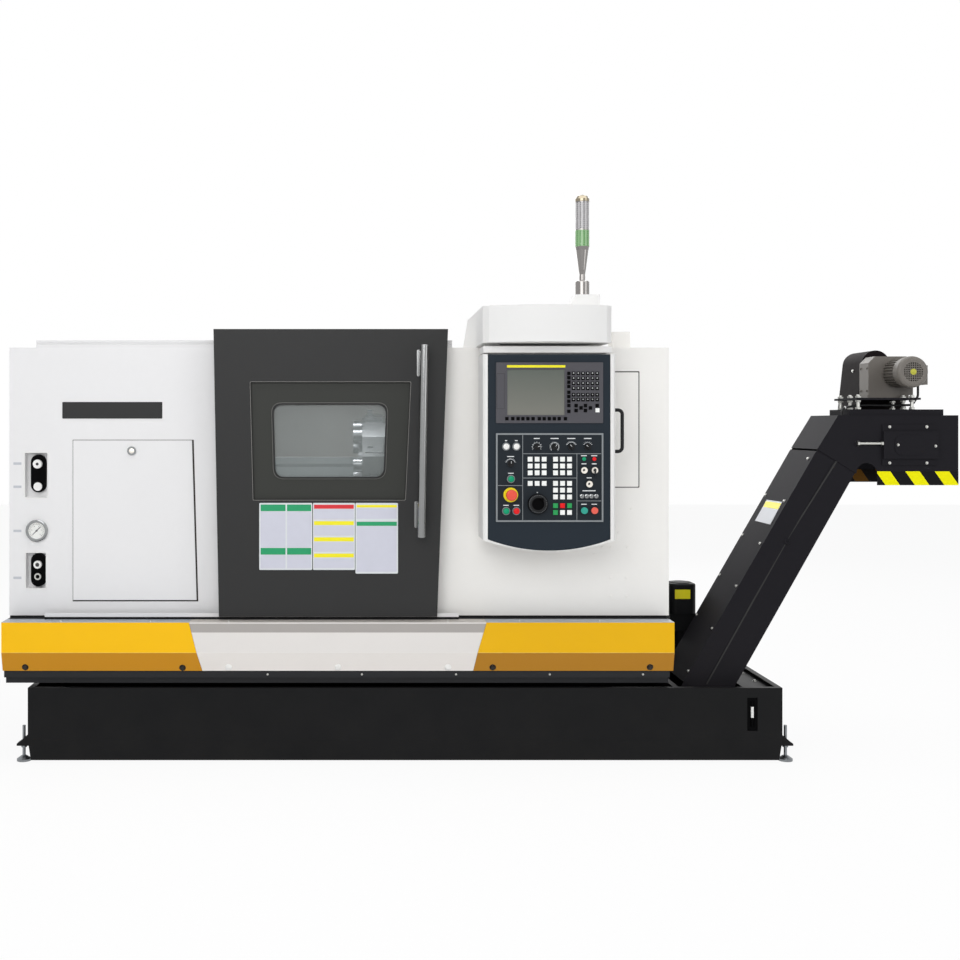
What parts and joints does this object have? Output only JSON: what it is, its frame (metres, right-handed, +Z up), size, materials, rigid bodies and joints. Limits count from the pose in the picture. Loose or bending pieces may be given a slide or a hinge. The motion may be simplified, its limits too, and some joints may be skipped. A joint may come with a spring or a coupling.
{
  "type": "cnc turning lathe",
  "caption": "Slant-bed turning lathe with a sliding door, hanging control panel, tool turret, tailstock, coolant tank and climbing chip conveyor.",
  "frame": {"origin": "centre of the bounding box on the floor", "axes": "+X to the operator's right along the spindle, +Y to the back, +Z up"},
  "size_m": [3.704, 1.7, 2.19],
  "materials": {
    "white_panels": "smooth off-white paint",
    "chamber_sheet": "light grey paint",
    "casting": "machined and painted casting",
    "machined_steel": "ground steel",
    "tank_paint": "satin black paint",
    "conveyor_paint": "textured charcoal paint",
    "motor_paint": "grey paint",
    "pump_paint": "dark paint",
    "door_paint": "satin charcoal paint",
    "window_glass": "clear laminated glass",
    "polished_steel": "polished stainless steel",
    "yellow_sills": "yellow paint",
    "grey_sills": "light grey paint",
    "panel_face": "dark textured panel",
    "display_grey": "grey keyboard housing",
    "black_plastic": "black moulded plastic",
    "knob_white": "white moulded plastic",
    "knob_grey": "dark grey moulded plastic",
    "red_plastic": "red moulded plastic",
    "green_plastic": "green moulded plastic",
    "salmon_plastic": "pale red moulded plastic",
    "cable_rubber": "black cable sheath",
    "lamp_plastic": "translucent lamp body",
    "gauge_housing": "black gauge housing"
  },
  "bodies": {
    "machine": {"bed_casting": "casting", "levelling_feet": "machined_steel", "headstock": "casting", "spindle_motor": "motor_paint", "chamber_liner": "chamber_sheet", "left_cabinet": "white_panels", "right_cabinet": "white_panels", "door_rails": "machined_steel", "sill_left": "yellow_sills", "sill_centre": "grey_sills", "sill_right": "yellow_sills", "under_rail": "grey_sills", "coolant_tank": "tank_paint", "sight_gauge": "gauge_housing", "coolant_pump": "pump_paint", "conveyor_housing": "conveyor_paint", "conveyor_cover": "conveyor_paint", "conveyor_head": "conveyor_paint", "conveyor_brackets": "machined_steel", "gear_motor": "motor_paint", "chain_guard": "conveyor_paint", "motor_cables": "cable_rubber", "canopy": "white_panels", "signal_lamp": "lamp_plastic", "electrical_cabinet": "white_panels", "pressure_gauge": "polished_steel", "valve_blocks": "black_plastic"},
    "door": {"door_panel": "door_paint", "door_glass": "window_glass", "door_handle": "polished_steel"},
    "access_cover": {"access_cover": "white_panels"},
    "cam_lock": {"cam_lock": "polished_steel"},
    "regulator_knob_upper": {"regulator_knob_upper": "knob_white"},
    "regulator_knob_lower": {"regulator_knob_lower": "knob_grey"},
    "control_panel": {"panel_shell": "white_panels", "panel_fascia": "panel_face", "display_unit": "display_grey", "operator_plate": "panel_face", "panel_handle": "black_plastic"},
    "emergency_stop": {"emergency_stop": "red_plastic"},
    "handwheel": {"handwheel": "black_plastic"},
    "selector_knob_1": {"selector_knob_1": "black_plastic"},
    "selector_knob_2": {"selector_knob_2": "black_plastic"},
    "selector_knob_3": {"selector_knob_3": "black_plastic"},
    "selector_knob_4": {"selector_knob_4": "black_plastic"},
    "selector_knob_5": {"selector_knob_5": "black_plastic"},
    "cycle_start_button": {"cycle_start_button": "green_plastic"},
    "feed_hold_button": {"feed_hold_button": "salmon_plastic"},
    "spindle": {"spindle": "machined_steel", "chuck_body": "machined_steel"},
    "chuck_jaw_1": {"chuck_jaw_1": "machined_steel"},
    "chuck_jaw_2": {"chuck_jaw_2": "machined_steel"},
    "chuck_jaw_3": {"chuck_jaw_3": "machined_steel"},
    "saddle": {"saddle": "casting"},
    "cross_slide": {"cross_slide": "casting"},
    "turret": {"turret_disc": "machined_steel"},
    "tailstock": {"tailstock": "casting"},
    "quill": {"quill": "machined_steel"},
    "electrical_door": {"electrical_door": "white_panels"},
    "conveyor_shaft": {"conveyor_shaft": "machined_steel"}
  },
  "joints": [
    {"name": "door_slide", "type": "slide", "parent": "machine", "child": "door", "axis": [-1, 0, 0], "range_m": [0, 0.65]},
    {"name": "access_cover_tilt", "type": "hinge", "parent": "machine", "child": "access_cover", "pos_m": [-1.362, -0.55152, 0.61147], "axis": [-1, 0, 0], "range_deg": [-75, 0]},
    {"name": "cam_lock_turn", "type": "hinge", "parent": "access_cover", "child": "cam_lock", "pos_m": [-1.373, -0.55, 1.192], "axis": [0, 1, 0], "range_deg": [0, 90]},
    {"name": "regulator_upper_turn", "type": "hinge", "parent": "machine", "child": "regulator_knob_upper", "pos_m": [-1.744, -0.54, 1.1405], "axis": [0, 1, 0], "range_deg": [-360, 360]},
    {"name": "regulator_lower_turn", "type": "hinge", "parent": "machine", "child": "regulator_knob_lower", "pos_m": [-1.744, -0.54, 0.747], "axis": [0, 1, 0], "range_deg": [-360, 360]},
    {"name": "panel_swivel", "type": "hinge", "parent": "machine", "child": "control_panel", "pos_m": [0.016, -0.69, 1.6], "axis": [0, 0, -1], "range_deg": [0, 75]},
    {"name": "emergency_stop_press", "type": "slide", "parent": "control_panel", "child": "emergency_stop", "axis": [0, 1, 0], "range_m": [0, 0.006]},
    {"name": "handwheel_spin", "type": "hinge", "parent": "control_panel", "child": "handwheel", "pos_m": [0.1735, -0.785, 1.001], "axis": [0, 1, 0], "continuous": true},
    {"name": "selector_1_turn", "type": "hinge", "parent": "control_panel", "child": "selector_knob_1", "pos_m": [0.1715, -0.785, 1.212], "axis": [0, 1, 0], "range_deg": [-90, 90]},
    {"name": "selector_2_turn", "type": "hinge", "parent": "control_panel", "child": "selector_knob_2", "pos_m": [0.2375, -0.785, 1.212], "axis": [0, 1, 0], "range_deg": [-150, 110]},
    {"name": "selector_3_turn", "type": "hinge", "parent": "control_panel", "child": "selector_knob_3", "pos_m": [0.2995, -0.785, 1.212], "axis": [0, 1, 0], "range_deg": [-60, 75]},
    {"name": "selector_4_turn", "type": "hinge", "parent": "control_panel", "child": "selector_knob_4", "pos_m": [0.3605, -0.785, 1.212], "axis": [0, 1, 0], "range_deg": [-75, 60]},
    {"name": "selector_5_turn", "type": "hinge", "parent": "control_panel", "child": "selector_knob_5", "pos_m": [0.0745, -0.785, 1.149], "axis": [0, 1, 0], "range_deg": [-60, 60]},
    {"name": "cycle_start_press", "type": "slide", "parent": "control_panel", "child": "cycle_start_button", "axis": [0, 1, 0], "range_m": [0, 0.004], "stiffness_N_per_m": 400},
    {"name": "feed_hold_press", "type": "slide", "parent": "control_panel", "child": "feed_hold_button", "axis": [0, 1, 0], "range_m": [0, 0.004], "stiffness_N_per_m": 400},
    {"name": "spindle_spin", "type": "hinge", "parent": "machine", "child": "spindle", "pos_m": [-0.952, -0.22, 0.96], "axis": [1, 0, 0], "continuous": true},
    {"name": "chuck_jaw_1_slide", "type": "slide", "parent": "spindle", "child": "chuck_jaw_1", "axis": [0, 0, 1], "range_m": [-0.0037, 0]},
    {"name": "chuck_jaw_2_slide", "type": "slide", "parent": "spindle", "child": "chuck_jaw_2", "axis": [0, -0.866, -0.5], "range_m": [-0.0037, 0]},
    {"name": "chuck_jaw_3_slide", "type": "slide", "parent": "spindle", "child": "chuck_jaw_3", "axis": [0, 0.866, -0.5], "range_m": [-0.0037, 0]},
    {"name": "saddle_slide", "type": "slide", "parent": "machine", "child": "saddle", "axis": [1, 0, 0], "range_m": [-0.32, 0.1]},
    {"name": "cross_slide_slide", "type": "slide", "parent": "saddle", "child": "cross_slide", "axis": [0, 0.7071, 0.7071], "range_m": [-0.08, 0.11]},
    {"name": "turret_index", "type": "hinge", "parent": "cross_slide", "child": "turret", "pos_m": [-0.422, -0.01989, 1.16011], "axis": [1, 0, 0], "continuous": true},
    {"name": "tailstock_slide", "type": "slide", "parent": "machine", "child": "tailstock", "axis": [1, 0, 0], "range_m": [-0.25, 0.1]},
    {"name": "quill_slide", "type": "slide", "parent": "tailstock", "child": "quill", "axis": [-1, 0, 0], "range_m": [0, 0.08]},
    {"name": "electrical_door_swing", "type": "hinge", "parent": "machine", "child": "electrical_door", "pos_m": [-0.002, 0.845, 1.075], "axis": [0, 0, -1], "range_deg": [0, 110]},
    {"name": "conveyor_shaft_spin", "type": "hinge", "parent": "machine", "child": "conveyor_shaft", "pos_m": [1.658, -0.41, 1.215], "axis": [0, 1, 0], "continuous": true}
  ],
  "couplings": [
    {"joint": "chuck_jaw_2_slide", "follows": "chuck_jaw_1_slide", "ratio": 1},
    {"joint": "chuck_jaw_3_slide", "follows": "chuck_jaw_1_slide", "ratio": 1}
  ]
}
